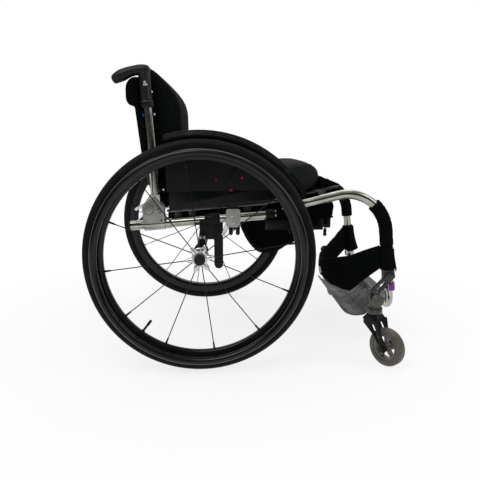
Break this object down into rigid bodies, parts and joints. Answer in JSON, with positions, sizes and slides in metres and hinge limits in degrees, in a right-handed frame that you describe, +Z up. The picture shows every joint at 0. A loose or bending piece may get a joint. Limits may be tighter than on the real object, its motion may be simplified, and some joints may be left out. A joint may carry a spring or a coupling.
{
  "type": "active wheelchair",
  "caption": "Rigid-frame active wheelchair with cambered spoked wheels, handrims, swivelling casters, fold-down back, side guards, brakes, calf strap and footplate.",
  "frame": {"origin": "middle of the footprint, on the floor", "axes": "+X forward, +Y the sitter's left, +Z up"},
  "size_m": [0.835, 0.716, 0.771],
  "materials": {
    "polished_aluminium": "polished",
    "satin_grey": "satin",
    "black_metal": "semi-gloss black",
    "tyre_rubber": "matt black",
    "gloss_black": "gloss black",
    "black_cloth": "woven nylon",
    "cushion_cloth": "stretch cover",
    "black_plastic": "moulded",
    "black_foam": "matt foam",
    "magenta_anodised": "anodised",
    "caster_rubber": "worn grey-brown",
    "bright_steel": "bright"
  },
  "bodies": {
    "frame": {"axle_bracket_left": "black_metal", "axle_bracket_right": "black_metal", "axle_pin_left": "bright_steel", "axle_pin_right": "bright_steel", "brake_clamp_left": "black_metal", "brake_clamp_right": "black_metal", "calf_strap": "black_cloth", "camber_tube": "black_metal", "caster_arm_left": "satin_grey", "caster_arm_right": "satin_grey", "caster_housing_left": "satin_grey", "caster_housing_right": "satin_grey", "cross_tube": "polished_aluminium", "fender_left": "gloss_black", "fender_right": "gloss_black", "footplate": "satin_grey", "footrest_tube": "polished_aluminium", "guard_receiver_left": "satin_grey", "guard_receiver_right": "satin_grey", "pouch_drawstring": "black_cloth", "rear_bracket_left": "satin_grey", "rear_bracket_right": "satin_grey", "seat_apron": "black_cloth", "seat_cushion": "cushion_cloth", "seat_rail_left": "polished_aluminium", "seat_rail_right": "polished_aluminium", "seat_sling": "black_cloth", "side_guard_left": "gloss_black", "side_guard_right": "gloss_black", "side_tube_left": "polished_aluminium", "side_tube_right": "polished_aluminium", "tube_sleeve_left": "black_foam", "tube_sleeve_right": "black_foam", "under_seat_pouch": "black_cloth"},
    "back": {"back_panel": "black_cloth", "back_cushion": "black_cloth", "back_post_right": "polished_aluminium", "push_handle_right": "black_plastic", "back_post_left": "polished_aluminium", "push_handle_left": "black_plastic"},
    "release": {"back_release": "satin_grey"},
    "wheel_right": {"tyre_right": "tyre_rubber", "rim_right": "gloss_black", "handrim_right": "gloss_black", "hub_right": "bright_steel"},
    "button_right": {"axle_button_right": "black_plastic"},
    "swivel_right": {"caster_fork_right": "black_metal"},
    "caster_right": {"caster_tyre_right": "caster_rubber", "caster_hub_right": "magenta_anodised"},
    "brake_right": {"brake_lever_right": "black_metal"},
    "wheel_left": {"tyre_left": "tyre_rubber", "rim_left": "gloss_black", "handrim_left": "gloss_black", "hub_left": "bright_steel"},
    "button_left": {"axle_button_left": "black_plastic"},
    "swivel_left": {"caster_fork_left": "black_metal"},
    "caster_left": {"caster_tyre_left": "caster_rubber", "caster_hub_left": "magenta_anodised"},
    "brake_left": {"brake_lever_left": "black_metal"}
  },
  "joints": [
    {"name": "back_fold", "type": "hinge", "parent": "frame", "child": "back", "pos_m": [-0.2561, 0, 0.4064], "axis": [0, 1, 0], "range_deg": [0, 60], "deforming": ["seat_cushion", "back_cushion"]},
    {"name": "release_swing", "type": "hinge", "parent": "frame", "child": "release", "pos_m": [-0.2655, 0, 0.42], "axis": [0, 1, 0], "range_deg": [0, 25], "stiffness_Nm_per_rad": 1},
    {"name": "wheel_spin_right", "type": "hinge", "parent": "frame", "child": "wheel_right", "pos_m": [-0.1225, -0.3, 0.29461], "axis": [0, 0.9986, -0.0523], "continuous": true},
    {"name": "axle_button_push_right", "type": "slide", "parent": "frame", "child": "button_right", "axis": [0, 0.9986, -0.0523], "range_m": [0, 0.005], "stiffness_N_per_m": 600},
    {"name": "caster_swivel_right", "type": "hinge", "parent": "frame", "child": "swivel_right", "pos_m": [0.3395, -0.275, 0.14], "axis": [0, 0, 1], "continuous": true},
    {"name": "caster_spin_right", "type": "hinge", "parent": "swivel_right", "child": "caster_right", "pos_m": [0.36531, -0.31186, 0.0505], "axis": [0.8192, 0.5736, 0], "continuous": true},
    {"name": "brake_swing_right", "type": "hinge", "parent": "frame", "child": "brake_right", "pos_m": [0.12, -0.225, 0.348], "axis": [0, 0, -1], "range_deg": [0, 75]},
    {"name": "wheel_spin_left", "type": "hinge", "parent": "frame", "child": "wheel_left", "pos_m": [-0.1225, 0.3, 0.29461], "axis": [0, 0.9986, 0.0523], "continuous": true},
    {"name": "axle_button_push_left", "type": "slide", "parent": "frame", "child": "button_left", "axis": [0, -0.9986, -0.0523], "range_m": [0, 0.005], "stiffness_N_per_m": 600},
    {"name": "caster_swivel_left", "type": "hinge", "parent": "frame", "child": "swivel_left", "pos_m": [0.3395, 0.275, 0.14], "axis": [0, 0, 1], "continuous": true},
    {"name": "caster_spin_left", "type": "hinge", "parent": "swivel_left", "child": "caster_left", "pos_m": [0.36531, 0.31186, 0.0505], "axis": [-0.8192, 0.5736, 0], "continuous": true},
    {"name": "brake_swing_left", "type": "hinge", "parent": "frame", "child": "brake_left", "pos_m": [0.12, 0.225, 0.348], "axis": [0, 0, 1], "range_deg": [0, 75]}
  ]
}
